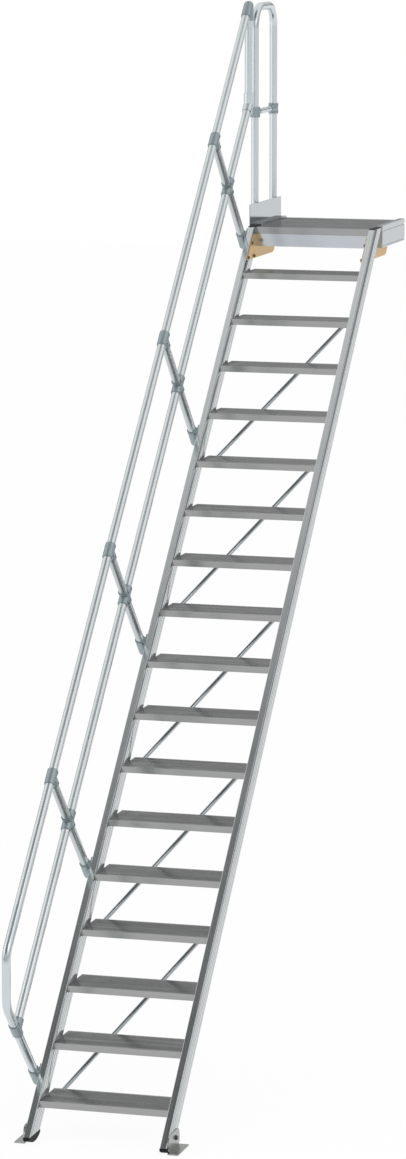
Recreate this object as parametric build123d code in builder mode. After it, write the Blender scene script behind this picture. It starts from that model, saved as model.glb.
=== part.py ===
from build123d import *
from math import atan2, cos, degrees, sin, sqrt, tan
import os

os.makedirs("parts", exist_ok=True)

# Flight of steps, in millimetres
rise = 212.0
run = 212.0
tread_count = 17
first_tread_height = 167.0
clear_width = 600.0

# Stringers: one hollow section on each side
stringer_width = 30.0
stringer_depth = 106.0
stringer_wall = 3.0
stringer_round = 3.0
stringer_foot_gap = 34.0
nosing_setback = 4.4
groove_width = 4.0
groove_depth = 1.0
side_groove_pitch = 22.0
side_groove_count = 4

# Treads: hollow planks with a fluted top
tread_depth = 225.0
tread_height = 30.0
tread_wall = 2.5
nosing_round = 9.0
heel_round = 3.0
chamber_count = 4
flute_pitch = 13.0
flute_side = 3.6
flute_margin = 16.0

# Platform
platform_depth = 650.0
deck_setback = 30.0
plank_count = 3
plank_height = 35.0
side_beam_width = 30.0
side_beam_drop = 104.0
side_beam_kerb = 8.0
side_beam_wall = 3.5
side_beam_gap = 22.0
slot_width = 8.0
slot_depth = 3.0
upper_slot_drop = 25.0
lower_slot_rise = 12.0
front_beam_inset = 6.0
front_beam_thickness = 25.0
front_beam_drop = 98.0
front_beam_wall = 3.0
rear_beam_height = 100.0
rear_beam_depth = 30.0
rear_beam_wall = 4.0
wall_hole_radius = 7.0
wall_hole_spacing_x = 500.0
wall_hole_spacing_z = 50.0
ledge_leg = 25.0
ledge_wall = 3.0

# Steel brackets that hang the platform on the stringers
bracket_thickness = 5.0
bracket_flange = 30.0
bracket_drop = 155.0
bracket_reach = 250.0
bracket_inset = 8.0
bracket_nose_width = 60.0
bracket_nose_rise = 34.0
bracket_corner_width = 22.0
bracket_corner_rise = 7.0

# Tube braces with flat ends behind the treads
brace_radius = 10.0
brace_wall = 2.0
brace_tread_count = 3
brace_left = 285.0
brace_right = 225.0
brace_tab_length = 34.0
brace_tab_width = 22.0
brace_tab_thickness = 4.0
brace_tab_overlap = 8.0
brace_hole_radius = 4.5

# Handrail tubes
rail_radius = 20.0
rail_wall = 2.5
rail_height = 1000.0
knee_height = 500.0
rail_offset = 30.0
post_count = 4
first_post_foot = 953.0
post_pitch = 895.0
post_overlap = 95.0
rail_end_y = 3715.0
bow_front_y = -270.0
bow_joint_y = -100.0
bow_knee_y = -140.0
bow_radius = 110.0

# Tube fittings
fitting_wall = 5.0
fitting_clearance = 0.2
fitting_length = 76.0
stub_length = 52.0
socket_length = 96.0
socket_plate_length = 92.0
socket_plate_width = 74.0
socket_plate_thickness = 6.0
socket_neck_width = 30.0
low_sleeve_length = 48.0
low_sleeve_rise = 12.0

# Guard loop and toe board on the platform
loop_width = 360.0
loop_from_wall = 54.0
loop_height = 1100.0
loop_foot_drop = 95.0
loop_radius = 105.0
crossbar_height = 568.0
crossbar_radius = 14.0
crossbar_sleeve = 54.0
crossbar_neck = 64.0
crossbar_neck_narrow = 17.5
foot_clamp_length = 56.0
foot_clamp_drop = 66.0
toe_board_height = 110.0
toe_board_lap = 36.0
toe_board_thickness = 4.0
toe_board_front = 36.0
toe_board_back = 4.0

# Feet
floor_plate_length = 172.0
floor_plate_width = 49.0
floor_plate_rise = 84.0
floor_plate_thickness = 6.0
floor_plate_start = -117.0
floor_plate_round = 32.0
anchor_radius = 7.0
anchor_offset = 27.0
foot_cap_overhang = 3.0
foot_cap_end_rise = 21.0
top_cap_thickness = 4.0
top_cap_round = 4.0

# Worked out from the sizes above
pitch = atan2(rise, run)
deck_height = first_tread_height + tread_count * rise
reach = tread_count * run + platform_depth
mount_height = deck_height - rear_beam_height / 2
half_width = clear_width / 2
outer_width = half_width + stringer_width
level_depth = stringer_depth / sin(pitch)
stringer_top_front = tread_count * run - nosing_setback
stringer_top_back = stringer_top_front + level_depth
deck_front = tread_count * run + deck_setback
deck_back = reach - rear_beam_depth
plank_depth = (deck_back - deck_front) / plank_count
plank_bottom = deck_height - plank_height
side_beam_front = stringer_top_back + side_beam_gap
bracket_back = stringer_top_back + bracket_reach
rail_x = -(outer_width + rail_offset)
fitting_radius = rail_radius + fitting_wall
fitting_bore = rail_radius + fitting_clearance
uphill = Vector(0, cos(pitch), sin(pitch))
inward = Vector(0, sin(pitch), -cos(pitch))
side_x = Vector(1, 0, 0)
up = Vector(0, 0, 1)
sides = {"left": -1, "right": 1}


def point(x, y, h):
    """A place x across the stair, y behind the first nosing and h above the floor."""
    return Vector(x, y - reach, h - mount_height)


def on_rail(y, above):
    """A place on a rail that runs above the line of the nosings."""
    return point(rail_x, y, first_tread_height + y * rise / run + above)


def tread_top(number):
    """Height of a tread's top above the floor, the first tread being 1."""
    return first_tread_height + (number - 1) * rise


def finish(piece, name):
    """Label a finished piece and write its file."""
    piece.label = name
    export_step(piece, f"parts/{name}.step")
    print(f"{name}: {piece.volume / 1e6:.3f} litres")


# Stringers, cut level at the foot and at the deck
stringer_length = (deck_height + stringer_depth * cos(pitch)) / sin(pitch)
chamber_depth = (stringer_depth - 3 * stringer_wall) / 2
for side, sign in sides.items():
    foot = point(
        sign * (half_width + stringer_width / 2),
        -nosing_setback - first_tread_height * run / rise,
        0,
    )
    with BuildPart() as stringer:
        with BuildSketch(Plane(origin=foot, x_dir=side_x, z_dir=uphill)):
            with Locations((0, stringer_depth / 2)):
                outline = Rectangle(stringer_width, stringer_depth)
            fillet(outline.vertices(), stringer_round)
            with Locations((0, stringer_depth / 2)):
                with GridLocations(1, chamber_depth + stringer_wall, 1, 2):
                    Rectangle(
                        stringer_width - 2 * stringer_wall, chamber_depth, mode=Mode.SUBTRACT
                    )
                with GridLocations(stringer_width, side_groove_pitch, 2, side_groove_count):
                    Rectangle(2 * groove_depth, groove_width, mode=Mode.SUBTRACT)
            Rectangle(groove_width, 2 * groove_depth, mode=Mode.SUBTRACT)
        extrude(amount=stringer_length)
        split(bisect_by=Plane(point(0, 0, stringer_foot_gap)), keep=Keep.TOP)
        split(bisect_by=Plane(point(0, 0, deck_height)), keep=Keep.BOTTOM)
    finish(stringer.part, f"{side}_stringer")

# Caps on the level ends of the stringers
with BuildPart() as top_caps:
    with BuildSketch(Plane(point(0, (stringer_top_front + stringer_top_back) / 2, deck_height))):
        with GridLocations(2 * half_width + stringer_width, 1, 2, 1):
            RectangleRounded(stringer_width, level_depth, top_cap_round)
    extrude(amount=top_cap_thickness)
finish(top_caps.part, "top_caps")

# Foot caps with a rounded sole, touching the floor in the middle
cap_front = -nosing_setback - (first_tread_height - stringer_foot_gap) * run / rise
cap_front -= foot_cap_overhang
cap_length = level_depth + 2 * foot_cap_overhang
with BuildPart() as foot_caps:
    for sign in sides.values():
        cap_plane = Plane(
            origin=point(sign * (half_width + stringer_width / 2), cap_front, 0),
            x_dir=(0, 1, 0),
            z_dir=side_x,
        )
        with BuildSketch(cap_plane):
            with BuildLine():
                Polyline(
                    (0, foot_cap_end_rise),
                    (0, stringer_foot_gap),
                    (cap_length, stringer_foot_gap),
                    (cap_length, foot_cap_end_rise),
                )
                ThreePointArc(
                    (cap_length, foot_cap_end_rise), (cap_length / 2, 0), (0, foot_cap_end_rise)
                )
            make_face()
        extrude(amount=stringer_width / 2, both=True)
finish(foot_caps.part, "foot_caps")

# Angle plates that fix the stringers to the floor
with BuildPart() as floor_plates:
    plate_middle = floor_plate_start + floor_plate_length / 2
    plate_x = outer_width + floor_plate_width / 2
    with BuildSketch(Plane(point(0, plate_middle, 0))):
        with GridLocations(2 * plate_x, 1, 2, 1):
            Rectangle(floor_plate_width, floor_plate_length)
        with GridLocations(2 * (outer_width + anchor_offset), 1, 2, 1):
            Circle(anchor_radius, mode=Mode.SUBTRACT)
    extrude(amount=floor_plate_thickness)
    for sign in sides.values():
        inner_face = point(sign * outer_width, plate_middle, floor_plate_rise / 2)
        with BuildSketch(Plane(origin=inner_face, x_dir=(0, sign, 0), z_dir=(sign, 0, 0))):
            standing_leg = Rectangle(floor_plate_length, floor_plate_rise)
            fillet(standing_leg.vertices().group_by(Axis.Z)[-1], floor_plate_round)
        extrude(amount=floor_plate_thickness)
finish(floor_plates.part, "floor_plates")

# Treads
flute_count = int((tread_depth - 2 * flute_margin) / flute_pitch) + 1
chamber_width = (tread_depth - (chamber_count + 1) * tread_wall) / chamber_count
for number in range(1, tread_count + 1):
    front_edge = point(0, (number - 1) * run, tread_top(number))
    with BuildPart() as tread:
        with BuildSketch(Plane(origin=front_edge, x_dir=(0, 1, 0), z_dir=side_x)):
            with Locations((tread_depth / 2, -tread_height / 2)):
                outline = Rectangle(tread_depth, tread_height)
            corners = outline.vertices().sort_by(Axis.Y)
            fillet(corners[:2].sort_by(Axis.Z)[-1], nosing_round)
            fillet(corners[:2].sort_by(Axis.Z)[0], heel_round)
            with Locations((tread_depth / 2, -tread_height / 2)):
                with GridLocations(chamber_width + tread_wall, 1, chamber_count, 1):
                    RectangleRounded(
                        chamber_width,
                        tread_height - 2 * tread_wall - flute_side / sqrt(2),
                        tread_wall,
                        mode=Mode.SUBTRACT,
                    )
            with Locations((tread_depth / 2, 0)):
                with GridLocations(flute_pitch, 1, flute_count, 1):
                    Rectangle(flute_side, flute_side, rotation=45, mode=Mode.SUBTRACT)
        extrude(amount=half_width, both=True)
    finish(tread.part, f"tread_{number:02d}")

# Deck planks between the side beams, the first one with a rounded nosing
plank_flutes = int((plank_depth - 2 * flute_margin) / flute_pitch) + 1
plank_chamber = (plank_depth - (chamber_count + 1) * tread_wall) / chamber_count
for number in range(plank_count):
    front_edge = point(0, deck_front + number * plank_depth, deck_height)
    with BuildPart() as plank:
        with BuildSketch(Plane(origin=front_edge, x_dir=(0, 1, 0), z_dir=side_x)):
            with Locations((plank_depth / 2, -plank_height / 2)):
                outline = Rectangle(plank_depth, plank_height)
            if number == 0:
                front_corners = outline.vertices().sort_by(Axis.Y)[:2]
                fillet(front_corners.sort_by(Axis.Z)[-1], nosing_round)
            with Locations((plank_depth / 2, -plank_height / 2)):
                with GridLocations(plank_chamber + tread_wall, 1, chamber_count, 1):
                    RectangleRounded(
                        plank_chamber,
                        plank_height - 2 * tread_wall - flute_side / sqrt(2),
                        tread_wall,
                        mode=Mode.SUBTRACT,
                    )
            with Locations((plank_depth / 2, 0)):
                with GridLocations(flute_pitch, 1, plank_flutes, 1):
                    Rectangle(flute_side, flute_side, rotation=45, mode=Mode.SUBTRACT)
        extrude(amount=half_width, both=True)
    finish(plank.part, f"deck_plank_{number + 1}")

# Side beams of the platform: closed in front, two slots in the outer face
beam_height = side_beam_drop + side_beam_kerb
for side, sign in sides.items():
    middle = point(
        sign * (half_width + side_beam_width / 2),
        side_beam_front,
        deck_height + side_beam_kerb - beam_height / 2,
    )
    with BuildPart() as side_beam:
        front_end = Plane(origin=middle, x_dir=(-sign, 0, 0), z_dir=(0, 1, 0))
        with BuildSketch(front_end):
            Rectangle(side_beam_width, beam_height)
            with Locations(
                (-side_beam_width / 2, sign * (beam_height / 2 - upper_slot_drop)),
                (-side_beam_width / 2, sign * (lower_slot_rise - beam_height / 2)),
            ):
                Rectangle(2 * slot_depth, slot_width, mode=Mode.SUBTRACT)
        extrude(amount=reach - side_beam_front)
        with BuildSketch(front_end.offset(side_beam_wall)):
            Rectangle(
                side_beam_width - 2 * side_beam_wall - slot_depth,
                beam_height - 2 * side_beam_wall,
            )
        extrude(amount=reach - side_beam_front, mode=Mode.SUBTRACT)
    finish(side_beam.part, f"{side}_side_beam")

# Front beam under the first plank
front_beam_height = front_beam_drop - plank_height
with BuildPart() as front_beam:
    beam_middle = point(
        0,
        deck_front + front_beam_inset + front_beam_thickness / 2,
        plank_bottom - front_beam_height / 2,
    )
    with BuildSketch(Plane(origin=beam_middle, x_dir=(0, 1, 0), z_dir=side_x)):
        Rectangle(front_beam_thickness, front_beam_height)
        Rectangle(
            front_beam_thickness - 2 * front_beam_wall,
            front_beam_height - 2 * front_beam_wall,
            mode=Mode.SUBTRACT,
        )
    extrude(amount=half_width - bracket_thickness, both=True)
finish(front_beam.part, "front_beam")

# Rear channel with the four wall holes
with BuildPart() as rear_beam:
    channel_middle = point(0, reach - rear_beam_depth / 2, mount_height)
    with BuildSketch(Plane(origin=channel_middle, x_dir=(0, 1, 0), z_dir=side_x)):
        Rectangle(rear_beam_depth, rear_beam_height)
        with Locations((-rear_beam_wall, 0)):
            Rectangle(
                rear_beam_depth, rear_beam_height - 2 * rear_beam_wall, mode=Mode.SUBTRACT
            )
    extrude(amount=half_width, both=True)
    wall_face = Plane(origin=point(0, reach, mount_height), x_dir=side_x, z_dir=(0, -1, 0))
    with BuildSketch(wall_face):
        with GridLocations(wall_hole_spacing_x, wall_hole_spacing_z, 2, 2):
            Circle(wall_hole_radius)
    extrude(amount=rear_beam_wall, mode=Mode.SUBTRACT)
finish(rear_beam.part, "rear_beam")

# Bent steel brackets inside the stringers and under the deck
for side, sign in sides.items():
    low = deck_height - bracket_drop
    front_low = stringer_top_front - bracket_drop * run / rise + bracket_inset / sin(pitch)
    front_high = front_low + (plank_bottom - low) * run / rise
    profile = [
        (front_low, low),
        (bracket_back - bracket_nose_width, low),
        (bracket_back - bracket_corner_width, low + bracket_corner_rise),
        (bracket_back, low + bracket_nose_rise),
        (bracket_back, plank_bottom),
        (front_high, plank_bottom),
    ]
    plate_plane = Plane(
        origin=point(sign * half_width, 0, 0), x_dir=(0, 1, 0), z_dir=(1, 0, 0)
    )
    flange_front = deck_front + front_beam_inset + front_beam_thickness
    flange_length = bracket_back - flange_front
    flange_corner = point(
        sign * (half_width - bracket_flange / 2), flange_front, plank_bottom
    )
    with BuildPart() as bracket:
        with BuildSketch(plate_plane):
            with BuildLine():
                Polyline(profile, close=True)
            make_face()
        extrude(amount=-sign * bracket_thickness)
        with BuildSketch(Plane(flange_corner)):
            Rectangle(bracket_flange, flange_length, align=(Align.CENTER, Align.MIN))
        extrude(amount=-bracket_thickness)
    finish(bracket.part, f"{side}_bracket")

# Ledges that carry the planks behind the brackets
with BuildPart() as plank_ledges:
    for sign in sides.values():
        ledge_corner = point(sign * half_width, bracket_back, plank_bottom)
        ledge_plane = Plane(origin=ledge_corner, x_dir=(-sign, 0, 0), z_dir=(0, -sign, 0))
        with BuildSketch(ledge_plane):
            Rectangle(ledge_leg, ledge_wall, align=(Align.MIN, Align.MIN))
            Rectangle(ledge_wall, ledge_leg, align=(Align.MIN, Align.MIN))
        extrude(amount=-sign * (deck_back - bracket_back))
finish(plank_ledges.part, "plank_ledges")

# Braces that cross three gaps each, against the lower back edges of the treads
brace_count = (tread_count - 1) // brace_tread_count
for number in range(brace_count):
    low_tread = 1 + number * brace_tread_count
    high_tread = low_tread + brace_tread_count
    low_end = point(
        -brace_left,
        (low_tread - 1) * run + tread_depth,
        tread_top(low_tread) - tread_height,
    )
    high_end = point(
        brace_right,
        (high_tread - 1) * run + tread_depth,
        tread_top(high_tread) - tread_height,
    )
    along = high_end - low_end
    middle = (low_end + high_end) / 2
    tube_length = along.length - brace_tab_length + 2 * brace_tab_overlap
    with BuildPart() as brace:
        with BuildSketch(Plane(origin=middle + inward * brace_radius, z_dir=along)):
            Circle(brace_radius)
            Circle(brace_radius - brace_wall, mode=Mode.SUBTRACT)
        extrude(amount=tube_length / 2, both=True)
        with BuildSketch(Plane(origin=middle, x_dir=along, z_dir=inward)):
            with GridLocations(along.length, 1, 2, 1):
                SlotOverall(brace_tab_length, brace_tab_width)
                Circle(brace_hole_radius, mode=Mode.SUBTRACT)
        extrude(amount=brace_tab_thickness)
    finish(brace.part, f"brace_{number + 1}")

# Handrail: the straight top rail and the bow at its foot
nosing_to_front = nosing_setback * sin(pitch)
post_end = rail_height * cos(pitch) - nosing_to_front + post_overlap
first_post_top = first_post_foot - post_end * sin(pitch)
post_tops = [first_post_top + i * post_pitch for i in range(post_count)]
rail_start = on_rail(bow_joint_y, rail_height)
rail_end = on_rail(rail_end_y, rail_height)
with BuildPart() as top_rail:
    with BuildSketch(Plane(origin=rail_start, z_dir=uphill)):
        Circle(rail_radius)
        Circle(rail_radius - rail_wall, mode=Mode.SUBTRACT)
    extrude(amount=(rail_end - rail_start).length)
finish(top_rail.part, "top_rail")

knee_joint = on_rail(bow_knee_y, knee_height)
knee_to_foot = post_end - (rail_height - knee_height) * cos(pitch)
bow_foot = knee_joint + inward * knee_to_foot
bow_turn = knee_joint - inward * ((knee_joint.Y - (bow_front_y - reach)) / sin(pitch))
with BuildPart() as rail_bow:
    with BuildLine() as bow_path:
        FilletPolyline(
            rail_start, on_rail(bow_front_y, rail_height), bow_turn, bow_foot, radius=bow_radius
        )
    with BuildSketch(Plane(origin=bow_path.line @ 0, z_dir=bow_path.line % 0)):
        Circle(rail_radius)
        Circle(rail_radius - rail_wall, mode=Mode.SUBTRACT)
    sweep()
finish(rail_bow.part, "rail_bow")

# Posts, square to the slope, from the top rail down beside the stringer
for number, top_y in enumerate(post_tops, start=1):
    post_axis = on_rail(top_y, rail_height)
    with BuildPart() as post:
        with BuildSketch(Plane(origin=post_axis + inward * rail_radius, z_dir=inward)):
            Circle(rail_radius)
            Circle(rail_radius - rail_wall, mode=Mode.SUBTRACT)
        extrude(amount=post_end - rail_radius)
    finish(post.part, f"post_{number}")

# Knee rail, in lengths between the posts
knee_in = (rail_height - knee_height) * cos(pitch)
knee_crossings = [on_rail(top_y, rail_height) + inward * knee_in for top_y in post_tops]
knee_end = on_rail(rail_end_y, knee_height)
knee_starts = [knee_joint] + knee_crossings
knee_stops = knee_crossings + [knee_end + uphill * rail_radius]
with BuildPart() as knee_rail:
    for start, stop in zip(knee_starts, knee_stops):
        with BuildSketch(Plane(origin=start + uphill * rail_radius, z_dir=uphill)):
            Circle(rail_radius)
            Circle(rail_radius - rail_wall, mode=Mode.SUBTRACT)
        extrude(amount=(stop - start).length - 2 * rail_radius)
finish(knee_rail.part, "knee_rail")

# Upright tube that closes the rail at the top
closing_gap = rail_radius * tan(pitch) + rail_radius / cos(pitch)
closing_length = rail_height - knee_height - 2 * closing_gap
with BuildPart() as closing_tube:
    with BuildSketch(Plane(knee_end + up * closing_gap)):
        Circle(rail_radius)
        Circle(rail_radius - rail_wall, mode=Mode.SUBTRACT)
    extrude(amount=closing_length)
finish(closing_tube.part, "closing_tube")

# Tees where the posts meet the top rail
for number, top_y in enumerate(post_tops, start=1):
    crossing = on_rail(top_y, rail_height)
    with BuildPart() as tee:
        with BuildSketch(Plane(origin=crossing, z_dir=uphill)):
            Circle(fitting_radius)
        extrude(amount=fitting_length / 2, both=True)
        with BuildSketch(Plane(origin=crossing, z_dir=inward)):
            Circle(fitting_radius)
        extrude(amount=stub_length)
        with BuildSketch(Plane(origin=crossing, z_dir=uphill)):
            Circle(fitting_bore)
        extrude(amount=fitting_length / 2, both=True, mode=Mode.SUBTRACT)
        with BuildSketch(Plane(origin=crossing, z_dir=inward)):
            Circle(fitting_bore)
        extrude(amount=stub_length, mode=Mode.SUBTRACT)
    finish(tee.part, f"rail_tee_{number}")

# Crosses where the knee rail meets the posts, and the tee on the bow
with BuildPart() as knee_crosses:
    for crossing in knee_crossings:
        with BuildSketch(Plane(origin=crossing, z_dir=uphill)):
            Circle(fitting_radius)
        extrude(amount=stub_length, both=True)
        with BuildSketch(Plane(origin=crossing, z_dir=inward)):
            Circle(fitting_radius)
        extrude(amount=fitting_length / 2, both=True)
    with BuildSketch(Plane(origin=knee_joint, z_dir=uphill)):
        Circle(fitting_radius)
    extrude(amount=stub_length)
    with BuildSketch(Plane(origin=knee_joint, z_dir=inward)):
        Circle(fitting_radius)
    extrude(amount=fitting_length / 2, both=True)
    for crossing in knee_crossings + [knee_joint]:
        with BuildSketch(Plane(origin=crossing, z_dir=inward)):
            Circle(fitting_bore)
        extrude(amount=fitting_length / 2, both=True, mode=Mode.SUBTRACT)
        with BuildSketch(Plane(origin=crossing, z_dir=uphill)):
            Circle(fitting_bore)
        extrude(amount=stub_length, mode=Mode.SUBTRACT)
    for crossing in knee_crossings:
        with BuildSketch(Plane(origin=crossing, z_dir=-uphill)):
            Circle(fitting_bore)
        extrude(amount=stub_length, mode=Mode.SUBTRACT)
finish(knee_crosses.part, "knee_crosses")

# End fittings of the top rail and the knee rail, the lower one short
end_corners = (
    (rail_end, -up, fitting_length, closing_gap + stub_length / 2),
    (knee_end, up, low_sleeve_length, closing_gap + low_sleeve_rise),
)
with BuildPart() as end_fittings:
    for corner, upright, along_rail, along_tube in end_corners:
        with BuildSketch(Plane(origin=corner, z_dir=-uphill)):
            Circle(fitting_radius)
        extrude(amount=along_rail)
        with BuildSketch(Plane(origin=corner, z_dir=upright)):
            Circle(fitting_radius)
        extrude(amount=along_tube)
        with Locations(corner):
            Sphere(fitting_radius)
    for corner, upright, along_rail, along_tube in end_corners:
        with BuildSketch(Plane(origin=corner, z_dir=-uphill)):
            Circle(fitting_bore)
        extrude(amount=along_rail, mode=Mode.SUBTRACT)
        with BuildSketch(Plane(origin=corner + upright * closing_gap, z_dir=upright)):
            Circle(fitting_bore)
        extrude(amount=along_tube, mode=Mode.SUBTRACT)
finish(end_fittings.part, "end_fittings")

# Sockets that carry the posts and the bow on the left stringer
post_feet = [on_rail(top_y, rail_height) + inward * post_end for top_y in post_tops]
with BuildPart() as post_sockets:
    for foot in [bow_foot] + post_feet:
        plate_centre = foot - inward * (socket_length / 2)
        stringer_face = Vector(-outer_width, plate_centre.Y, plate_centre.Z)
        face_plane = Plane(origin=stringer_face, x_dir=uphill, z_dir=(-1, 0, 0))
        with BuildSketch(face_plane):
            RectangleRounded(socket_plate_width, socket_plate_length, fitting_wall)
        extrude(amount=socket_plate_thickness)
        with BuildSketch(face_plane):
            Rectangle(socket_neck_width, socket_length)
        extrude(amount=rail_offset)
        with BuildSketch(Plane(origin=foot, z_dir=-inward)):
            Circle(fitting_radius)
        extrude(amount=socket_length)
    for foot in [bow_foot] + post_feet:
        with BuildSketch(Plane(origin=foot, z_dir=-inward)):
            Circle(fitting_bore)
        extrude(amount=socket_length, mode=Mode.SUBTRACT)
finish(post_sockets.part, "post_sockets")

# Guard loop on the left of the platform
loop_back_y = reach - loop_from_wall
loop_front_y = loop_back_y - loop_width
loop_top = deck_height + loop_height
loop_foot = deck_height - loop_foot_drop
with BuildPart() as guard_loop:
    with BuildLine() as loop_path:
        FilletPolyline(
            point(rail_x, loop_front_y, loop_foot),
            point(rail_x, loop_front_y, loop_top),
            point(rail_x, loop_back_y, loop_top),
            point(rail_x, loop_back_y, loop_foot),
            radius=loop_radius,
        )
    with BuildSketch(Plane(origin=loop_path.line @ 0, z_dir=loop_path.line % 0)):
        Circle(rail_radius)
        Circle(rail_radius - rail_wall, mode=Mode.SUBTRACT)
    sweep()
finish(guard_loop.part, "guard_loop")

# Thin crossbar between the loop's legs, in tees with tapered necks
crossbar_level = deck_height + crossbar_height
crossbar_bore = crossbar_radius + fitting_clearance
with BuildPart() as guard_crossbar:
    bar_start = point(rail_x, loop_front_y + rail_radius, crossbar_level)
    with BuildSketch(Plane(origin=bar_start, z_dir=(0, 1, 0))):
        Circle(crossbar_radius)
        Circle(crossbar_radius - rail_wall, mode=Mode.SUBTRACT)
    extrude(amount=loop_width - 2 * rail_radius)
finish(guard_crossbar.part, "guard_crossbar")

with BuildPart() as crossbar_tees:
    for leg_y, facing in ((loop_front_y, 1), (loop_back_y, -1)):
        leg = point(rail_x, leg_y, crossbar_level)
        neck_plane = Plane(origin=leg, z_dir=(0, facing, 0))
        with BuildSketch(Plane(leg)):
            Circle(fitting_radius)
        extrude(amount=crossbar_sleeve / 2, both=True)
        with BuildSketch(neck_plane):
            Circle(fitting_radius)
        with BuildSketch(neck_plane.offset(crossbar_neck)):
            Circle(crossbar_neck_narrow)
        loft()
        with BuildSketch(Plane(leg)):
            Circle(fitting_bore)
        extrude(amount=crossbar_sleeve / 2, both=True, mode=Mode.SUBTRACT)
        with BuildSketch(neck_plane):
            Circle(crossbar_bore)
        extrude(amount=crossbar_neck, mode=Mode.SUBTRACT)
finish(crossbar_tees.part, "crossbar_tees")

# Clamps that hold the loop's legs on the side beam
clamp_level = deck_height - foot_clamp_drop
with BuildPart() as loop_clamps:
    for leg_y in (loop_front_y, loop_back_y):
        leg = point(rail_x, leg_y, clamp_level)
        beam_face = point(-outer_width, leg_y, clamp_level)
        with BuildSketch(Plane(origin=beam_face, x_dir=(0, 1, 0), z_dir=(-1, 0, 0))):
            Rectangle(socket_neck_width, foot_clamp_length)
        extrude(amount=rail_offset)
        with BuildSketch(Plane(leg)):
            Circle(fitting_radius)
        extrude(amount=foot_clamp_length / 2, both=True)
        with BuildSketch(Plane(leg)):
            Circle(fitting_bore)
        extrude(amount=foot_clamp_length / 2, both=True, mode=Mode.SUBTRACT)
finish(loop_clamps.part, "loop_clamps")

# Toe board beside the deck
toe_start = tread_count * run + toe_board_front
toe_length = reach - toe_board_back - toe_start
toe_rise = toe_board_height + toe_board_lap
with BuildPart() as toe_board:
    toe_corner = point(-outer_width, toe_start, deck_height - toe_board_lap)
    with BuildSketch(Plane(origin=toe_corner, x_dir=(-1, 0, 0), z_dir=(0, 1, 0))):
        Rectangle(toe_board_thickness, toe_rise, align=(Align.MIN, Align.MIN))
    extrude(amount=toe_length)
finish(toe_board.part, "toe_board")

print(f"slope {degrees(pitch):.1f} degrees, deck {deck_height:.0f} above the floor")
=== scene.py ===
# %% [markdown]
# # A steep aluminium stair with a small platform
# The stair is made of drawn and extruded aluminium: two hollow stringers, ribbed treads, a ribbed
# deck and tube rails held by cast clamps. The construction is already there as solid parts. This
# lesson dresses them: each part gets the finish of its own stock, and the screws, which are too
# small for the construction, are built here as meshes. Lengths are in metres, +Z is up, and the
# stair climbs along +Y.

# %% The construction, as it comes
from math import cos, pi, radians, sin

import bmesh
import bpy
from mathutils import Matrix, Vector


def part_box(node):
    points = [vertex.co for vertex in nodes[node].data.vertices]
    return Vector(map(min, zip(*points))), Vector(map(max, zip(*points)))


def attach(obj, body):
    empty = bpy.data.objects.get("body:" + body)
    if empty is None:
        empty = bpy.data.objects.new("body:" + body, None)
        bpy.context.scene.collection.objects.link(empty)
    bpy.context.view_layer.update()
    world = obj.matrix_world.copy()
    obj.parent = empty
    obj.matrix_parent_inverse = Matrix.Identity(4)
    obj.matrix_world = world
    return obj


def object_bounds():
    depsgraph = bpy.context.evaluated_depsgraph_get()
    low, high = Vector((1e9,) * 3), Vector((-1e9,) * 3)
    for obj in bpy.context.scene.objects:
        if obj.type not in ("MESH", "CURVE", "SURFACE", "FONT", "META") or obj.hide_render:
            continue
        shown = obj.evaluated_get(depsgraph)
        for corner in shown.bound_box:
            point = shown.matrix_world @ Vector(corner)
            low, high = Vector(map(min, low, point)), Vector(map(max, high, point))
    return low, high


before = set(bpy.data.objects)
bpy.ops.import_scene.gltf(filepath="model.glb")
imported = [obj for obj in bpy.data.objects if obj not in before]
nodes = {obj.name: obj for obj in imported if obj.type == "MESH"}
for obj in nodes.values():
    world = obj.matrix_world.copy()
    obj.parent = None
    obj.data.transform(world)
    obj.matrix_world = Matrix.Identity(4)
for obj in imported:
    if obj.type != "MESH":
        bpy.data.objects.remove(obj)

cad_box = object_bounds()
print(f"{len(nodes)} parts, box {[round(v, 3) for corner in cad_box for v in corner]}")

# %% [markdown]
# ## Facts read from the parts
# A screw has to sit on the part that it holds. Its place could be typed in as a number, but then
# it would stay behind when the part's size changes. So a few facts are read from the parts' own
# boxes: the step from one tread to the next gives the slope, and square to it, pointing under the
# stair, lies the direction of the posts and of the brace screws.


# %% Boxes, slope and floor
def low(name):
    return Vector(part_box(name)[0])


def high(name):
    return Vector(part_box(name)[1])


def middle(name):
    return (low(name) + high(name)) / 2


tread_names = sorted(name for name in nodes if name.startswith("tread_"))
step = low(tread_names[1]) - low(tread_names[0])
slope = Vector((0, step.y, step.z)).normalized()
inward = Vector((0, slope.z, -slope.y))
floor_level = low("floor_plates").z
deck_height = high("deck_plank_1").z - floor_level
print(f"rise {step.z * 1000:.0f} mm, run {step.y * 1000:.0f} mm, deck {deck_height:.3f} m up")

# %% [markdown]
# ## Shader arithmetic
# A finish is a tree of nodes. It could be wired by hand, or with one call for each node, but then
# a short formula hides behind many links. Here a `Wire` wraps the socket of a number that varies
# over the surface, and the operators on wires add the Math nodes. Their reflected forms let a
# plain number come first, as in 1 - mask. Four forms come up so often that they have names: the
# size of a signed number, a limit at both ends, a mask that rises from a start, and a noise
# spread about a new middle.


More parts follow.
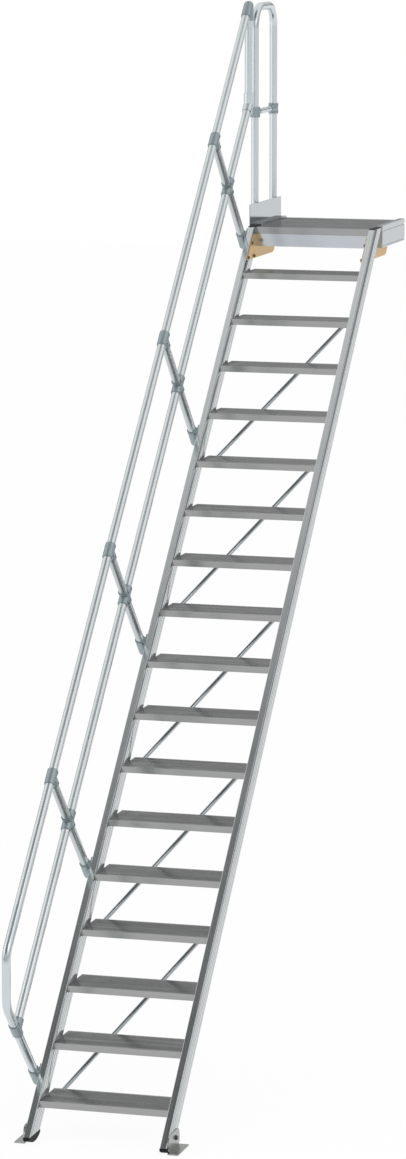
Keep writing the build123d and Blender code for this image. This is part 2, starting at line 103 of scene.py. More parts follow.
# %% A number that varies over a surface
class Wire:
    """A socket that takes part in arithmetic; `home` is the material or world it belongs to."""

    def __init__(self, home, socket):
        self.home = home
        self.socket = socket

    def math(self, operation, *values):
        made = self.home.node("ShaderNodeMath", {"operation": operation}, dict(enumerate(values)))
        return Wire(self.home, made.outputs[0])

    def __add__(self, other):
        return self.math("ADD", self, other)

    def __radd__(self, other):
        return self.math("ADD", other, self)

    def __sub__(self, other):
        return self.math("SUBTRACT", self, other)

    def __rsub__(self, other):
        return self.math("SUBTRACT", other, self)

    def __mul__(self, other):
        return self.math("MULTIPLY", self, other)

    def __rmul__(self, other):
        return self.math("MULTIPLY", other, self)

    def __truediv__(self, other):
        return self.math("DIVIDE", self, other)

    def __rtruediv__(self, other):
        return self.math("DIVIDE", other, self)

    def absolute(self):
        return self.math("ABSOLUTE", self)

    def clamped(self, least=0.0, most=1.0):
        return self.math("MINIMUM", self.math("MAXIMUM", self, least), most)

    def rise(self, start, steepness):
        """A mask: 0 up to start, then climbing to 1."""
        return ((self - start) * steepness).clamped()

    def around(self, centre, spread):
        """A noise, which lies about 0.5, spread about another centre."""
        return (self - 0.5) * spread + centre


print("wires add, subtract, multiply and divide")

# %% [markdown]
# ## One method for all other nodes
# Any other node comes from one method, `node`, which takes the type, then the settings, then the
# values or links of the sockets. Settings go first because some of them, such as the kind of data
# that a Mix node blends, change which sockets the node has. A colour is given as three numbers,
# and the fourth, its opacity, is added here. A material and the world both have such a tree, so
# the method sits in a class that they share.


# %% A tree of nodes
class Nodes:
    """The nodes of one material, or of the world."""

    def __init__(self, tree):
        self.tree = tree
        tree.nodes.clear()

    def node(self, kind, settings=None, sockets=None):
        made = self.tree.nodes.new(kind)
        for key, value in (settings or {}).items():
            setattr(made, key, value)
        for key, value in (sockets or {}).items():
            socket = made.inputs[key]
            if isinstance(value, Wire):
                self.tree.links.new(value.socket, socket)
            elif isinstance(value, bpy.types.NodeSocket):
                self.tree.links.new(value, socket)
            elif socket.type == "RGBA":
                socket.default_value = (*value, 1.0)
            else:
                socket.default_value = value
        return made

    def share_along(self, vector, axis):
        """The X, Y or Z of a vector."""
        return Wire(self, self.node("ShaderNodeSeparateXYZ", sockets={0: vector}).outputs[axis])

    def ray(self, kind):
        """1 for light rays of this kind, and 0 for the others."""
        return Wire(self, self.node("ShaderNodeLightPath").outputs[kind])


print("one node method for materials and the world")

# %% [markdown]
# ## What a finish is made of
# A finish on the real stair is a colour, a gloss and a fine relief, and each varies a little from
# place to place. All of that comes from a few sources, which are the methods of `Finish`: a noise,
# the way the surface faces, and the place on the part. They could be typed out in each finish, but
# then the finishes would differ by accident. Colours are mixed by a Mix node, since Math nodes
# would turn them grey.

# %% A material
LEVEL = (0.0, 0.0, 0.0)
FINE_RELIEF = 0.0003
MIX_FACTOR, MIX_FIRST_COLOUR, MIX_SECOND_COLOUR, MIX_COLOUR_OUT = 0, 6, 7, 2


class Finish(Nodes):
    """A material that is written as arithmetic on wires."""

    def __init__(self, name):
        self.material = bpy.data.materials.new(name)
        self.material.use_nodes = True
        super().__init__(self.material.node_tree)

    def noise(self, scales, turn=LEVEL, detail=3.0, roughness=0.55):
        """A noise on the turned object; a low scale draws it out along that axis."""
        where = self.node("ShaderNodeTexCoord").outputs["Object"]
        turned = self.node("ShaderNodeMapping", sockets={"Vector": where, "Rotation": turn})
        scaled = {"Vector": turned.outputs[0], "Scale": scales}
        place = self.node("ShaderNodeMapping", sockets=scaled).outputs[0]
        sockets = {"Vector": place, "Scale": 1.0, "Detail": detail, "Roughness": roughness}
        return Wire(self, self.node("ShaderNodeTexNoise", sockets=sockets).outputs["Fac"])

    def grain(self, scale, detail=3.0, roughness=0.55):
        """A noise that is alike in all directions, with this many cells to the metre."""
        return self.noise((scale, scale, scale), LEVEL, detail, roughness)

    def facing(self, axis):
        """How much the surface faces along X, Y or Z of the object, from -1 to 1."""
        return self.share_along(self.node("ShaderNodeNewGeometry").outputs["Normal"], axis)

    def position(self, axis):
        """How far along X, Y or Z of the object a point lies, in metres."""
        return self.share_along(self.node("ShaderNodeTexCoord").outputs["Object"], axis)

    def blend(self, factor, first, second):
        """A colour between two colours."""
        sockets = {MIX_FACTOR: factor, MIX_FIRST_COLOUR: first, MIX_SECOND_COLOUR: second}
        made = self.node("ShaderNodeMix", {"data_type": "RGBA"}, sockets)
        return made.outputs[MIX_COLOUR_OUT]

    def bump(self, relief, strength, distance=FINE_RELIEF):
        sockets = {"Height": relief, "Strength": strength, "Distance": distance}
        return self.node("ShaderNodeBump", sockets=sockets).outputs[0]

    def surface(self, **sockets):
        """The metal, plated or plastic surface itself, with an underscore for each space."""
        named = {key.replace("_", " "): value for key, value in sockets.items()}
        shader = self.node("ShaderNodeBsdfPrincipled", sockets=named)
        self.node("ShaderNodeOutputMaterial", sockets={0: shader.outputs[0]})
        return self.material


print(f"fine relief is {FINE_RELIEF * 1000:.1f} mm high")

# %% [markdown]
# ## Extruded and drawn aluminium
# Aluminium sections are pressed through a die, so the finest marks run along the section, and the
# surface looks streaked, not grained. A photograph of brushed metal could be wrapped round each
# part, but it would need a layout for every face and would repeat. A noise drawn out along the
# section needs no layout and never repeats. It shifts the colour, the roughness and, very
# slightly, the surface. A second noise, wide and faint, stands for the cloudy patches that
# handling and storage leave.

# %% Die marks and clouds
ALONG_SLOPE = (radians(-45.0), 0.0, 0.0)
CLOUDS_A_METRE = 2.6
CLOUD_ROUGHNESS = 0.06
STREAK_SHARE = 0.55


def die_marks(finish, run, across, lengthwise, turn=LEVEL):
    """Streaks along the axis `run`: how many cells a metre holds across them and along them."""
    scales = [lengthwise if axis == run else across for axis in "XYZ"]
    return finish.noise(scales, turn, detail=4.0, roughness=0.6)


def mill_finish(finish, streaks, bright, dull, rough, marks=0.10):
    """The colour and roughness of aluminium as it leaves the mill."""
    clouds = finish.grain(CLOUDS_A_METRE, detail=2.0)
    shade = (streaks * STREAK_SHARE + clouds * (1 - STREAK_SHARE)).clamped()
    roughness = (streaks - 0.5) * marks + (clouds - 0.5) * CLOUD_ROUGHNESS + rough
    return finish.blend(shade, dull, bright), roughness


print(f"clouds about {1 / CLOUDS_A_METRE:.2f} m wide")

# %% [markdown]
# ### Sawn ends
# Where a saw has cut a section, its end is duller and rougher than its sides. The end could be a
# face with a material of its own, but the parts come as one surface each. So a mask finds the
# faces that look along the section. A section that lies along the slope is left out, because its
# ends are inside castings or under caps.

# %% Drawn metal
END_FACING = 0.9
END_STEEPNESS = 12.0
SAWN_ROUGHNESS = 0.35
SAWN_DULLNESS = 0.55
SMOOTHEST, ROUGHEST = 0.06, 0.9


def drawn_metal(name, bright, dull, rough, marked, turn=LEVEL, marks=0.10, relief=0.05):
    """Stock whose marks run as `marked` says: the axis, the cells across and the cells along."""
    finish = Finish(name)
    run = marked[0]
    sawn = 0.0
    if turn == LEVEL:
        sawn = finish.facing(run).absolute().rise(END_FACING, END_STEEPNESS)
    streaks = die_marks(finish, *marked, turn)
    colour, roughness = mill_finish(finish, streaks, bright, dull, rough, marks)
    return finish.surface(
        Base_Color=colour,
        Metallic=1.0 - sawn * SAWN_DULLNESS,
        Roughness=(roughness + sawn * SAWN_ROUGHNESS).clamped(SMOOTHEST, ROUGHEST),
        Normal=finish.bump(streaks, relief),
    )


beam_finish = drawn_metal(
    "beam_extrusion", (0.52, 0.55, 0.575), (0.38, 0.41, 0.43), 0.20, ("Y", 170.0, 2.0)
)
cross_beam_finish = drawn_metal(
    "cross_beam_extrusion", (0.63, 0.66, 0.70), (0.47, 0.50, 0.54), 0.18, ("X", 170.0, 2.0)
)
sheet_finish = drawn_metal(
    "toe_board_sheet", (0.46, 0.50, 0.52), (0.39, 0.43, 0.45), 0.10, ("Y", 90.0, 2.0),
    marks=0.05, relief=0.02,
)
brace_finish = drawn_metal(
    "brace_tube", (0.52, 0.55, 0.57), (0.38, 0.41, 0.43), 0.30, ("X", 60.0, 60.0)
)
print("finishes for the beams, the toe board and the braces")

# %% [markdown]
# ### Tubes
# The rails are drawn tube, smoother than the beams. They need one finish for each direction in
# which tubes run, because the streaks follow the tube: up the slope, straight up, and square to
# the slope for the posts. Turning the noise by the slope's 45 degrees does that. The posts are a
# little rougher, because hands seldom touch them, and their colour is painted a little darker: a
# painted shade for the dark that their sides mirror from below.

# %% Rails, uprights and posts
TUBE_BRIGHT, TUBE_DULL = (0.69, 0.74, 0.77), (0.58, 0.63, 0.66)
TUBE_ACROSS, TUBE_LENGTHWISE = 160.0, 1.6

slope_tube_finish = drawn_metal(
    "sloping_tube", (0.76, 0.80, 0.81), (0.60, 0.64, 0.65), 0.30,
    ("Y", TUBE_ACROSS, TUBE_LENGTHWISE), ALONG_SLOPE, marks=0.08, relief=0.03,
)
upright_tube_finish = drawn_metal(
    "upright_tube", TUBE_BRIGHT, TUBE_DULL, 0.28,
    ("Z", TUBE_ACROSS, TUBE_LENGTHWISE), marks=0.08, relief=0.03,
)
# Painted shade: the posts' colours are darker than the uprights', for the dark that their sides
# mirror.
post_tube_finish = drawn_metal(
    "post_tube", (0.64, 0.68, 0.69), (0.52, 0.56, 0.57), 0.34,
    ("Z", TUBE_ACROSS, TUBE_LENGTHWISE), ALONG_SLOPE, marks=0.08, relief=0.03,
)
print("finishes for sloping tubes, uprights and posts")

# %% [markdown]
# ### The stringers
# A stringer's side isn't flat: it leans back towards a soft front. That shows as a shade that
# deepens towards the front edge. More geometry could carry it, but the lean is only a few
# millimetres, so it is relief: a smooth slope as high as the lean, which tilts the shaded surface
# and leaves the outline as it is. The height falls with the square of the distance, so that the
# lean starts gently. Behind, a small flange closes the side, and its shade is painted: a dark band
# in the colour near the back edge.

# %% Crowned metal
LEAN_DEPTH = 0.075
LEAN_RISE = 0.0158
# Painted shade: from here back, the side's colour darkens into a band for the back flange's shade.
PAINTED_LIP_START = 0.096
PAINTED_LIP_STEEPNESS = 250.0
PAINTED_LIP_SHADE, PAINTED_LIP_SHARE = (0.16, 0.17, 0.175), 0.45
SIDE_FACING, SIDE_STEEPNESS = 0.5, 4.0
STREAK_RELIEF = 0.00002


def crowned_metal(name, bright, dull, rough, marked):
    finish = Finish(name)
    streaks = die_marks(finish, *marked, ALONG_SLOPE)
    stock, roughness = mill_finish(finish, streaks, bright, dull, rough)
    front = low("right_stringer").dot(inward)
    behind_front = finish.position("Y") * inward.y + finish.position("Z") * inward.z - front
    left_to_lean = (1 - behind_front / LEAN_DEPTH).clamped()
    on_side = finish.facing("X").absolute().rise(SIDE_FACING, SIDE_STEEPNESS)
    # Painted shade: a dark band on the side near the back edge, standing for the back flange's
    # shade.
    painted_lip_shade = behind_front.rise(PAINTED_LIP_START, PAINTED_LIP_STEEPNESS) * on_side
    lean = left_to_lean * left_to_lean * -LEAN_RISE
    return finish.surface(
        Base_Color=finish.blend(painted_lip_shade * PAINTED_LIP_SHARE, stock, PAINTED_LIP_SHADE),
        Metallic=1.0,
        Roughness=roughness.clamped(SMOOTHEST, ROUGHEST),
        Normal=finish.bump(lean + streaks * STREAK_RELIEF, strength=1.0, distance=1.0),
    )


stringer_finish = crowned_metal(
    "stringer_extrusion", (0.70, 0.73, 0.735), (0.48, 0.51, 0.515), 0.15, ("Y", 170.0, 1.6)
)
print(f"stringers lean back over {LEAN_DEPTH * 1000:.0f} mm")

# %% [markdown]
# ## Ribbed treads and deck
# A tread's top is darker and slightly rougher than its front. The dark is a painted shade for what
# the ribbed tops mirror at a grazing view, with dirt in the flutes and ribs polished by shoes in
# it. The top could be a second material on chosen faces, but rounded ribs have no clear border.
# So the mask is the direction that the surface faces, which belongs to the part and doesn't change
# with the view. Fine scuffs and long lanes along the ribs break up the dark top.

# %% The ribbed finish
TOP_FACING, TOP_STEEPNESS = 0.35, 2.4
SCUFF_SHARE = 0.35
WEAR_CONTRAST = 3.6


def ribbed_metal(name, shaded_dirty_top, shaded_worn_top, front_dull, front_bright):
    finish = Finish(name)
    streaks = die_marks(finish, "X", 260.0, 2.2)
    clouds = finish.noise((3.2, 9.0, 3.0))
    scuffs = finish.noise((5.0, 130.0, 130.0), detail=5.0, roughness=0.7)
    lanes = finish.noise((1.3, 30.0, 4.0), detail=3.0, roughness=0.6)
    on_top = finish.facing("Z").rise(TOP_FACING, TOP_STEEPNESS)
    wear = (scuffs * SCUFF_SHARE + lanes * (1 - SCUFF_SHARE)).around(0.5, WEAR_CONTRAST).clamped()
    # Painted shade with dirt and wear: both top colours are darker than the front, mixed by scuffs
    # and lanes.
    top = finish.blend(wear, shaded_dirty_top, shaded_worn_top)
    front = finish.blend(streaks, front_dull, front_bright)
    roughness = (streaks - 0.5) * 0.10 + on_top * 0.02 + 0.17 + (clouds - 0.5) * CLOUD_ROUGHNESS
    return finish.surface(
        # Painted shade: faces that look up take the darker top colour.
        Base_Color=finish.blend(on_top, front, top),
        Metallic=1.0,
        Roughness=roughness.clamped(0.1, 0.9),
        Normal=finish.bump(streaks, 0.06),
    )


tread_finish = ribbed_metal(
    "ribbed_tread",
    shaded_dirty_top=(0.10, 0.104, 0.104),
    shaded_worn_top=(0.30, 0.304, 0.304),
    front_dull=(0.31, 0.315, 0.31),
    front_bright=(0.41, 0.415, 0.41),
)
deck_finish = ribbed_metal(
    "ribbed_deck",
    shaded_dirty_top=(0.07, 0.073, 0.076),
    shaded_worn_top=(0.24, 0.244, 0.248),
    front_dull=(0.31, 0.315, 0.32),
    front_bright=(0.41, 0.415, 0.42),
)
print("finishes for the treads and the darker deck")

# %% [markdown]
# ## Castings
# The clamps are aluminium castings, tumbled to a grainy, bluish grey. The grain could be real
# bumps in the mesh, but it is only a few millimetres wide and hardly high, so a dense noise stirs
# the colour, the roughness and the relief together.

# %% The clamps
CAST_DARK, CAST_LIGHT = (0.26, 0.32, 0.335), (0.41, 0.48, 0.50)
CAST_GRAIN = 360.0


def casting():
    finish = Finish("tumbled_casting")
    grain = finish.grain(CAST_GRAIN, detail=4.0, roughness=0.65)
    patches = finish.grain(14.0)
    shade = (grain * 0.5 + patches * 0.5).clamped()
    return finish.surface(
        Base_Color=finish.blend(shade, CAST_DARK, CAST_LIGHT),
        Metallic=0.9,
        Roughness=grain.around(0.42, 0.25).clamped(),
        Normal=finish.bump(grain, 0.08),
    )


casting_finish = casting()
print(f"casting grain about {1000 / CAST_GRAIN:.1f} mm wide")

# %% [markdown]
# ### The corner fittings
# The two fittings at the ends of the rails share one part, but not one finish: the upper one is a
# casting, and the lower one is smooth and light, like its tubes. They could be split in two parts.
# Here a mask by height, which starts at the closing tube's middle, tells them apart.

# %% The corner fittings
CORNER_STEEPNESS = 50.0


def corner_fittings():
    finish = Finish("corner_fitting")
    is_upper = finish.position("Z").rise(middle("closing_tube").z, CORNER_STEEPNESS)
    grain = finish.grain(CAST_GRAIN, detail=4.0, roughness=0.65)
    streaks = die_marks(finish, "Z", TUBE_ACROSS, TUBE_LENGTHWISE)
    cast = finish.blend(grain, CAST_DARK, CAST_LIGHT)
    tube = finish.blend(streaks, TUBE_DULL, TUBE_BRIGHT)
    return finish.surface(
        Base_Color=finish.blend(is_upper, tube, cast),
        Metallic=1.0 - is_upper * 0.1,
        Roughness=(grain.around(0.28, 0.1) + is_upper * 0.14).clamped(),
        Normal=finish.bump(grain, 0.05),
    )


corner_finish = corner_fittings()
print(f"the mask starts {middle('closing_tube').z:.2f} m above the origin")

# %% [markdown]
# ## Yellow chromate
# The brackets are sheet steel with a yellow chromate coat. The coat is so thin that its colour
# shifts with its thickness, between straw and rose. One plain yellow would look like paint, so a
# wide noise mixes two straws, and where it is high it goes on to rose. A fine grain stirs the
# gloss.


# %% The brackets
def chromate():
    finish = Finish("yellow_chromate")
    patches = finish.grain(9.0)
    grain = finish.grain(420.0, detail=2.0)
    straw = finish.blend(patches, (0.55, 0.35, 0.105), (0.70, 0.48, 0.18))
    rose_patches = (patches * 1.6 - 0.55).clamped()
    return finish.surface(
        Base_Color=finish.blend(rose_patches, straw, (0.64, 0.42, 0.22)),
        Metallic=0.75,
        Roughness=grain.around(0.36, 0.16).clamped(),
        Normal=finish.bump(grain, 0.12),
    )


chromate_finish = chromate()
print("a finish for the two brackets")

# %% [markdown]
# ## Zinc
# The floor plates are steel angles plated with zinc, which forms frosted patches a few centimetres
# wide. A cell pattern with sharp edges would suit dipped zinc. Plated zinc is softer, so a plain
# noise makes the patches.


# %% The floor plates
def zinc():
    finish = Finish("zinc_plate")
    patches = finish.grain(30.0, detail=4.0)
    grain = finish.grain(300.0)
    return finish.surface(
        Base_Color=finish.blend(patches, (0.28, 0.295, 0.28), (0.42, 0.435, 0.42)),
        Metallic=0.9,
        Roughness=grain.around(0.26, 0.2).clamped(),
        Normal=finish.bump(grain, 0.15),
    )


zinc_finish = zinc()
print("a finish for the floor plates")

# %% [markdown]
# ## Black plastic
# The caps on the stringers are moulded black plastic. Pure black would hide their form, so the
# colour stays a little above it, with light scuffs, and the gloss is low and uneven. A fine grain
# from the mould breaks the reflection.


# %% The caps
def black_plastic():
    finish = Finish("moulded_black")
    scuffs = finish.grain(40.0, detail=4.0)
    grain = finish.grain(700.0, detail=2.0)
    return finish.surface(
        Base_Color=finish.blend(scuffs, (0.006, 0.006, 0.007), (0.020, 0.020, 0.021)),
        Roughness=scuffs.around(0.55, 0.2).clamped(),
        Specular_IOR_Level=0.12,
        Normal=finish.bump(grain, 0.2, distance=0.0002),
    )


plastic_finish = black_plastic()
print("a finish for the caps")

# %% [markdown]
# ## Each part gets its stock
# Each part could be picked and dressed by hand, which is slow with 17 treads. One list says
# instead which finish goes on which parts, by the start of the part's name, and the first line
# that fits counts. A part that the list forgets stops the script, so nothing keeps a plain colour
# by accident.

# %% Finishes onto parts
PART_FINISHES = (
    ("tread_", tread_finish),
    ("deck_plank", deck_finish),
    ("left_stringer", stringer_finish),
    ("right_stringer", stringer_finish),
    ("left_side_beam", beam_finish),
    ("right_side_beam", beam_finish),
    ("plank_ledges", beam_finish),
    ("front_beam", cross_beam_finish),
    ("rear_beam", cross_beam_finish),
    ("left_bracket", chromate_finish),
    ("right_bracket", chromate_finish),
    ("brace_", brace_finish),
    ("top_rail", slope_tube_finish),
    ("knee_rail", slope_tube_finish),
    ("rail_bow", upright_tube_finish),
    ("closing_tube", upright_tube_finish),
    ("guard_loop", upright_tube_finish),
    ("guard_crossbar", upright_tube_finish),
    ("post_sockets", casting_finish),
    ("post_", post_tube_finish),
    ("rail_tee", casting_finish),
    ("knee_crosses", casting_finish),
    ("end_fittings", corner_finish),
    ("crossbar_tees", casting_finish),
    ("loop_clamps", casting_finish),
    ("toe_board", sheet_finish),
    ("floor_plates", zinc_finish),
    ("foot_caps", plastic_finish),
    ("top_caps", plastic_finish),
)
for name, part in nodes.items():
    material = next(finish for start, finish in PART_FINISHES if name.startswith(start))
    part.data.materials.clear()
    part.data.materials.append(material)
print(f"{len(nodes)} parts finished")

# %% [markdown]
# ## Screws
# The brackets, the floor plates and the braces are held by hexagon screws, and each clamp grips
# its tube with sunk grub screws. A screw is small in the picture, but its rim and its shadow show.
# A relief could stand for it, but not where the screw stands out past an edge, so it is a mesh
# with a washer, a chamfered head and a real recess. It is built up as on a lathe: ring after ring
# of points, each ring joined to the next.


# %% A stack of rings
def ring(mesh, sides, radius, level, place, turn):
    """Points round the Z axis at one level, brought to their place."""
    angles = [turn + 2 * pi * i / sides for i in range(sides)]
    points = [Vector((radius * cos(a), radius * sin(a), level)) for a in angles]
    return [mesh.verts.new(place @ point) for point in points]


def stack(mesh, sides, profile, place, turn=0.0):
    """A turned or many-sided form from (radius, level) pairs, closed at both ends."""
    rings = [ring(mesh, sides, radius, level, place, turn) for radius, level in profile]
    for lower, upper in zip(rings, rings[1:]):
        for i in range(sides):
            j = (i + 1) % sides
            mesh.faces.new((lower[i], lower[j], upper[j], upper[i]))
    mesh.faces.new(rings[0][::-1])
    mesh.faces.new(rings[-1])


def standing(spot, axis):
    """The place of a form that stands on a spot and points along an axis."""
    turned = Vector((0, 0, 1)).rotation_difference(Vector(axis))
    return Matrix.Translation(spot) @ turned.to_matrix().to_4x4()


print("a stack of rings makes washers, heads and bosses")

# %% [markdown]
# ### One hexagon screw
# A hexagon head is known by one size, the width across its flats, and everything else is a share
# of it. The head's corners are chamfered, its top is slightly dished, and a round washer lies
# under it. The head is turned a little, since a tightened screw seldom stops with its flats level.

# %% Washer and head
WASHER_RADIUS = 0.68
WASHER_THICKNESS = 0.12
HEAD_HEIGHT = 0.42
WASHER_SIDES = 28
HEAD_TURN = 0.3


def hex_screw(mesh, spot, axis, across):
    """A washer and a hexagon head, standing on a face at spot and pointing along axis."""
    place = standing(spot, axis)
    washer = across * WASHER_RADIUS
    thick = across * WASHER_THICKNESS
    rim = [(washer, 0), (washer, thick * 0.8), (washer * 0.96, thick)]
    stack(mesh, WASHER_SIDES, rim, place)
    corner = across / 2 / cos(pi / 6)
    top = thick + across * HEAD_HEIGHT
    sides = [(corner, thick), (corner, top * 0.9)]
    dish = [(corner * 0.90, top), (corner * 0.55, top), (corner * 0.50, top * 0.94)]
    stack(mesh, 6, sides + dish, place, HEAD_TURN)


print(f"a washer is {2 * WASHER_RADIUS:.2f} times as wide as its head's flats")

# %% [markdown]
# ### One grub screw
# A grub screw has no head. It is sunk in a low boss on the casting, and only its hexagon socket
# shows. The boss, its flat rim and the recess are one profile, given in screw radii, so one size
# is enough here too.

# %% Boss and recess
GRUB_RADIUS = 0.003
GRUB_SIDES = 24
GRUB_PROFILE = (
    (1.5, -0.5), (1.45, 0.18), (1.3, 0.32), (1.05, 0.32), (1.0, 0.1), (0.6, 0.08), (0.55, -0.3),
)


def grub_screw(mesh, spot, axis):
    profile = [(GRUB_RADIUS * radius, GRUB_RADIUS * level) for radius, level in GRUB_PROFILE]
    stack(mesh, GRUB_SIDES, profile, standing(spot, axis))


print(f"a grub screw's boss is {2 * GRUB_RADIUS * GRUB_PROFILE[0][0] * 1000:.0f} mm across")

# %% [markdown]
# ### From mesh to piece
# There are more than eighty screws, and each could be an object of its own. That would be slow to
# handle, so all screws of one kind are gathered in one mesh, which becomes one piece. The piece
# rides with the stair. The screws are dark, and those in the brackets have a chromate coat like
# the brackets, only browner.


# %% Screw metal and the finished piece
def screw_metal(name, dark, light):
    finish = Finish(name)
    grain = finish.grain(500.0, detail=2.0)
    return finish.surface(
        Base_Color=finish.blend(grain, dark, light),
        Metallic=0.9,
        Roughness=grain.around(0.38, 0.2).clamped(),
    )


def finished(mesh, name, material):
    """A bmesh becomes a piece of the stair."""
    data = bpy.data.meshes.new(name)
    bmesh.ops.recalc_face_normals(mesh, faces=mesh.faces)
    mesh.to_mesh(data)
    mesh.free()
    piece = bpy.data.objects.new(name, data)
    bpy.context.collection.objects.link(piece)
    data.materials.append(material)
    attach(piece, "root")
    print(f"{name}: {len(data.polygons)} faces")


screw_finish = screw_metal("blackened_screw", (0.10, 0.10, 0.11), (0.20, 0.20, 0.21))
bronze_finish = screw_metal("chromated_screw", (0.17, 0.12, 0.06), (0.30, 0.22, 0.11))
print("blackened and chromated screws")

# %% [markdown]
# ### Bracket screws
# Each bracket is bolted to the stringer in two rows of two screws, the rows moved along the
# slope, and twice to the side beam behind. The heads lie on the bracket's inner side, where a
# spanner reaches them. Their places are counted from the corners of the bracket's box.

# %% Screws through the brackets
BRACKET_ROWS = (0.012, 0.080)
BRACKET_ACROSS = 0.013
BRACKET_SHEET = 0.005
EDGE_TO_SCREW = 0.012
SCREW_SPACING = 0.110
BEAM_SCREWS = (0.060, 0.150)

screws = bmesh.new()
inner_x = low("right_stringer").x
for name, side in (("left_bracket", -1), ("right_bracket", 1)):
    bottom = low(name)
    face_x = side * (inner_x - BRACKET_SHEET)
    for row in BRACKET_ROWS:
        for along in (EDGE_TO_SCREW, EDGE_TO_SCREW + SCREW_SPACING):
            spot = Vector((face_x, bottom.y + row + along, bottom.z + row))
            hex_screw(screws, spot, (-side, 0, 0), BRACKET_ACROSS)
    for back in BEAM_SCREWS:
        spot = Vector((face_x, high(name).y - back, bottom.z + BRACKET_ROWS[1]))
        hex_screw(screws, spot, (-side, 0, 0), BRACKET_ACROSS)
finished(screws, "bracket_screws", bronze_finish)

# %% [markdown]
# ### Screws at the feet
# One hexagon screw goes through the standing leg of each floor plate into the stringer. It is
# larger than the others, because it carries the foot alone. The leg lies against the stringer's
# outer side, so the screw stands one sheet further out.

# %% Screws through the floor plates
FOOT_ACROSS = 0.018
PLATE_SHEET = 0.006
FRONT_TO_SCREW = 0.112
FLOOR_TO_SCREW = 0.050

screws = bmesh.new()
outer_x = high("right_stringer").x
for side in (-1, 1):
    face_x = side * (outer_x + PLATE_SHEET)
    spot = Vector((face_x, low("floor_plates").y + FRONT_TO_SCREW, floor_level + FLOOR_TO_SCREW))
    hex_screw(screws, spot, (side, 0, 0), FOOT_ACROSS)
finished(screws, "foot_screws", screw_finish)

# %% [markdown]
# ### Brace screws
# The tube braces end in flat tabs, which are screwed against the treads' lower back edges. A
# brace runs from corner to corner of its box, so the box's diagonal gives its direction. The
# screws lie near its two ends, sunk in the tabs.

# %% Screws through the braces
BRACE_ACROSS = 0.010
BRACE_END_TO_SCREW = 0.021
BRACE_SCREW_SINK = 0.006

screws = bmesh.new()
for name in sorted(n for n in nodes if n.startswith("brace_")):
    whole = high(name) - low(name)
    half_span = whole.length / 2 - BRACE_END_TO_SCREW
    for end in (-1, 1):
        spot = middle(name) + whole.normalized() * end * half_span - inward * BRACE_SCREW_SINK
        hex_screw(screws, spot, inward, BRACE_ACROSS)
finished(screws, "brace_screws", screw_finish)

# %% [markdown]
# ### Grub screws in the clamps
# The castings grip the tubes with sunk screws. A tee has two along the rail and one on the post, a
# cross has two along the rail and two on the post, both on either side, and a crossbar tee has two
# on its outer side. All of them are counted from the point where the two tubes cross, which lies
# one sleeve and one radius inside the tee's box.

# %% Grub screws
TEE_SLEEVE = 0.038
KNEE_BELOW_RAIL = 0.5
TEE_SPOTS = (slope * 0.026, slope * -0.026, inward * 0.042)
CROSS_SPOTS = (slope * 0.040, slope * -0.040, inward * 0.030, inward * -0.030)
CROSSBAR_SPOTS = (-0.018, 0.018)

clamp_radius = (high("crossbar_tees").x - low("crossbar_tees").x) / 2
rail_x = middle("top_rail").x


def grubs_on_both_sides(mesh, centre, offsets):
    for offset in offsets:
        for side in (-1, 1):
            spot = centre + offset + Vector((side * clamp_radius, 0, 0))
            grub_screw(mesh, spot, (side, 0, 0))


screws = bmesh.new()
tee_reach = (TEE_SLEEVE + clamp_radius) * slope.y
for name in sorted(n for n in nodes if n.startswith("rail_tee")):
    crossing = Vector((rail_x, low(name).y + tee_reach, high(name).z - tee_reach))
    grubs_on_both_sides(screws, crossing, TEE_SPOTS)
    grubs_on_both_sides(screws, crossing + inward * (KNEE_BELOW_RAIL * slope.y), CROSS_SPOTS)
for leg_y in (low("crossbar_tees").y + clamp_radius, high("crossbar_tees").y - clamp_radius):
    for lift in CROSSBAR_SPOTS:
        spot = Vector((rail_x + clamp_radius, leg_y, middle("crossbar_tees").z + lift))
        grub_screw(screws, spot, (1, 0, 0))
finished(screws, "clamp_screws", screw_finish)

# %% [markdown]
# ## The floor
# The stair stands in a white studio. A white floor under plain lamps would come out grey, and
# stronger lamps would bleach the stair. So the floor shines white for the camera and for what
# mirrors it, and only a small share of paper is left in it there, which takes the soft shadow. For
# all other light it is plain white paper, which brightens the stair from below.


# %% A floor that stays white
PAPER_WHITE = (0.93, 0.93, 0.93)
GLOW_SHARE = 0.94
FLOOR_REACH = 40.0


def studio_floor():
    finish = Finish("studio_floor")
    seen = finish.ray("Is Camera Ray")
    mirrored = finish.ray("Is Glossy Ray")
    through = finish.ray("Is Transmission Ray")
    share = (seen + mirrored + through).clamped() * GLOW_SHARE
    paper = finish.node("ShaderNodeBsdfDiffuse", sockets={"Color": PAPER_WHITE})
    white = finish.node("ShaderNodeEmission", sockets={"Color": (1, 1, 1), "Strength": 1.0})
    sockets = {0: share, 1: paper.outputs[0], 2: white.outputs[0]}
    both = finish.node("ShaderNodeMixShader", sockets=sockets)
    finish.node("ShaderNodeOutputMaterial", sockets={0: both.outputs[0]})
    return finish.material


floor_mesh = bmesh.new()
corners = [(-FLOOR_REACH, -FLOOR_REACH), (FLOOR_REACH, -FLOOR_REACH)]
corners += [(FLOOR_REACH, FLOOR_REACH), (-FLOOR_REACH, FLOOR_REACH)]
floor_mesh.faces.new([floor_mesh.verts.new((x, y, floor_level)) for x, y in corners])
floor_data = bpy.data.meshes.new("floor")
floor_mesh.to_mesh(floor_data)
floor_mesh.free()
floor = bpy.data.objects.new("floor", floor_data)
bpy.context.collection.objects.link(floor)
floor_data.materials.append(studio_floor())
print(f"floor at {floor_level:.3f} m, {2 * FLOOR_REACH:.0f} m wide")

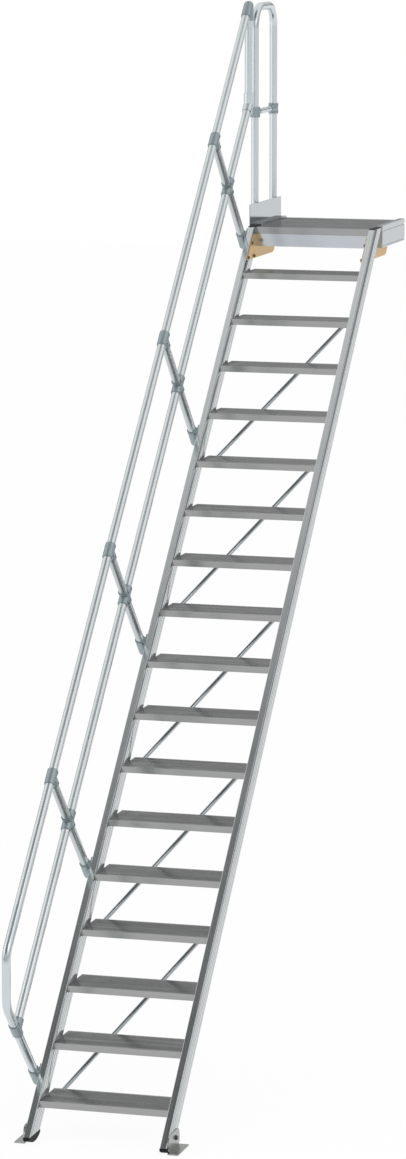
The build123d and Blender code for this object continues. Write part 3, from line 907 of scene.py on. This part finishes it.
# %% [markdown]
# ## The room that the metal mirrors
# Bright metal has hardly any shade of its own: it is drawn by what it mirrors. In an all-white
# world the tubes would be flat and white. Walls could be built as meshes, but the world can hold
# them as a few masks on the direction of a ray. Mirrored rays meet walls that are dark at the
# foot and grow lighter upwards, and a white ceiling with a dark panel over the front, which draws
# the dark streak along the rails. The camera itself still sees plain white.

# %% The world
WALL_DARKNESS, WALL_FADE, WALL_STEEPNESS = 0.82, 1.8, 30.0
CEILING_START, CEILING_STEEPNESS = 0.30, 4.0
PANEL_DARKNESS = 0.86
PANEL_HALF_WIDTH, PANEL_SHIFT, PANEL_SIDE_STEEPNESS = 0.55, 0.05, 5.0
PANEL_EDGE_TURN, PANEL_EDGE_SHIFT, PANEL_EDGE_STEEPNESS = 0.3, 0.018, 9.0
PLAIN_LIGHT = 0.9

world = bpy.data.worlds.new("studio")
bpy.context.scene.world = world
world.use_nodes = True
sky = Nodes(world.node_tree)
direction = sky.node("ShaderNodeTexCoord").outputs["Generated"]
rightward, backward, upward = (sky.share_along(direction, axis) for axis in "XYZ")

ceiling = upward.rise(CEILING_START, CEILING_STEEPNESS)
above_horizon = (upward * WALL_STEEPNESS).clamped()
wall = above_horizon * (1 - ceiling) * (WALL_DARKNESS - upward * WALL_FADE)

aside = (rightward + PANEL_SHIFT).absolute()
within_sides = ((PANEL_HALF_WIDTH - aside) * PANEL_SIDE_STEEPNESS).clamped()
back_edge = rightward * PANEL_EDGE_TURN - PANEL_EDGE_SHIFT
before_edge = ((back_edge - backward) * PANEL_EDGE_STEEPNESS).clamped()
panel = within_sides * before_edge
room = (1 - wall) * (1 - ceiling * panel * PANEL_DARKNESS)

seen = sky.ray("Is Camera Ray")
share = (sky.ray("Is Glossy Ray") + sky.ray("Is Transmission Ray")).clamped()
strength = seen + (1 - seen) * (share * room + (1 - share) * PLAIN_LIGHT)
light = sky.node("ShaderNodeBackground", sockets={"Color": (1, 1, 1), "Strength": strength})
sky.node("ShaderNodeOutputWorld", sockets={0: light.outputs[0]})
print(f"a room of {len(world.node_tree.nodes)} nodes")

# %% [markdown]
# ## Lamps
# The room gives even light, and two lamps give the stair its form: a key from the right front and
# a weaker fill from the left. Small lamps would put hard spots on the tubes, so both are panels
# several metres wide.


# %% Soft lamps
def lamp(name, place, target, size, power):
    data = bpy.data.lights.new(name, "AREA")
    data.shape = "RECTANGLE"
    data.size, data.size_y = size
    data.energy = power
    piece = bpy.data.objects.new(name, data)
    bpy.context.collection.objects.link(piece)
    piece.location = place
    aim = Vector(target) - Vector(place)
    piece.rotation_euler = aim.to_track_quat("-Z", "Y").to_euler()
    print(f"{name}: {power:.0f} W from {aim.length:.1f} m")


centre = (Vector(cad_box[0]) + Vector(cad_box[1])) / 2
lamp("key", centre + Vector((5.0, -6.0, 6.0)), centre, size=(5.0, 5.0), power=90.0)
lamp("fill", centre + Vector((-7.0, -4.0, 2.0)), centre, size=(6.0, 6.0), power=60.0)

# %% [markdown]
# ## The camera
# The picture was taken from far away, a little from the right and slightly from above. The camera
# could be moved by eye until the picture fits, but then turn, tilt and distance hide each other's
# faults. Here they were worked out together, from the edges of the treads, stringers and rails.

# %% Camera
CAMERA_TURN = 15.919
CAMERA_TILT = 9.130
CAMERA_PLACE = Vector((5.8579, -23.1819, 1.9942))
FOCAL_LENGTH = 143.13
SENSOR_WIDTH = 36.0
FARTHEST_VIEW = 200.0

camera_data = bpy.data.cameras.new("camera")
camera_data.lens = FOCAL_LENGTH
camera_data.sensor_width = SENSOR_WIDTH
camera_data.clip_end = FARTHEST_VIEW
camera = bpy.data.objects.new("camera", camera_data)
bpy.context.collection.objects.link(camera)
camera.location = CAMERA_PLACE
camera.rotation_euler = (radians(90.0 - CAMERA_TILT), 0.0, radians(CAMERA_TURN))
bpy.context.scene.camera = camera
bpy.context.scene.view_settings.view_transform = "Standard"
print(f"camera {(CAMERA_PLACE - centre).length:.1f} m from the stair's middle")
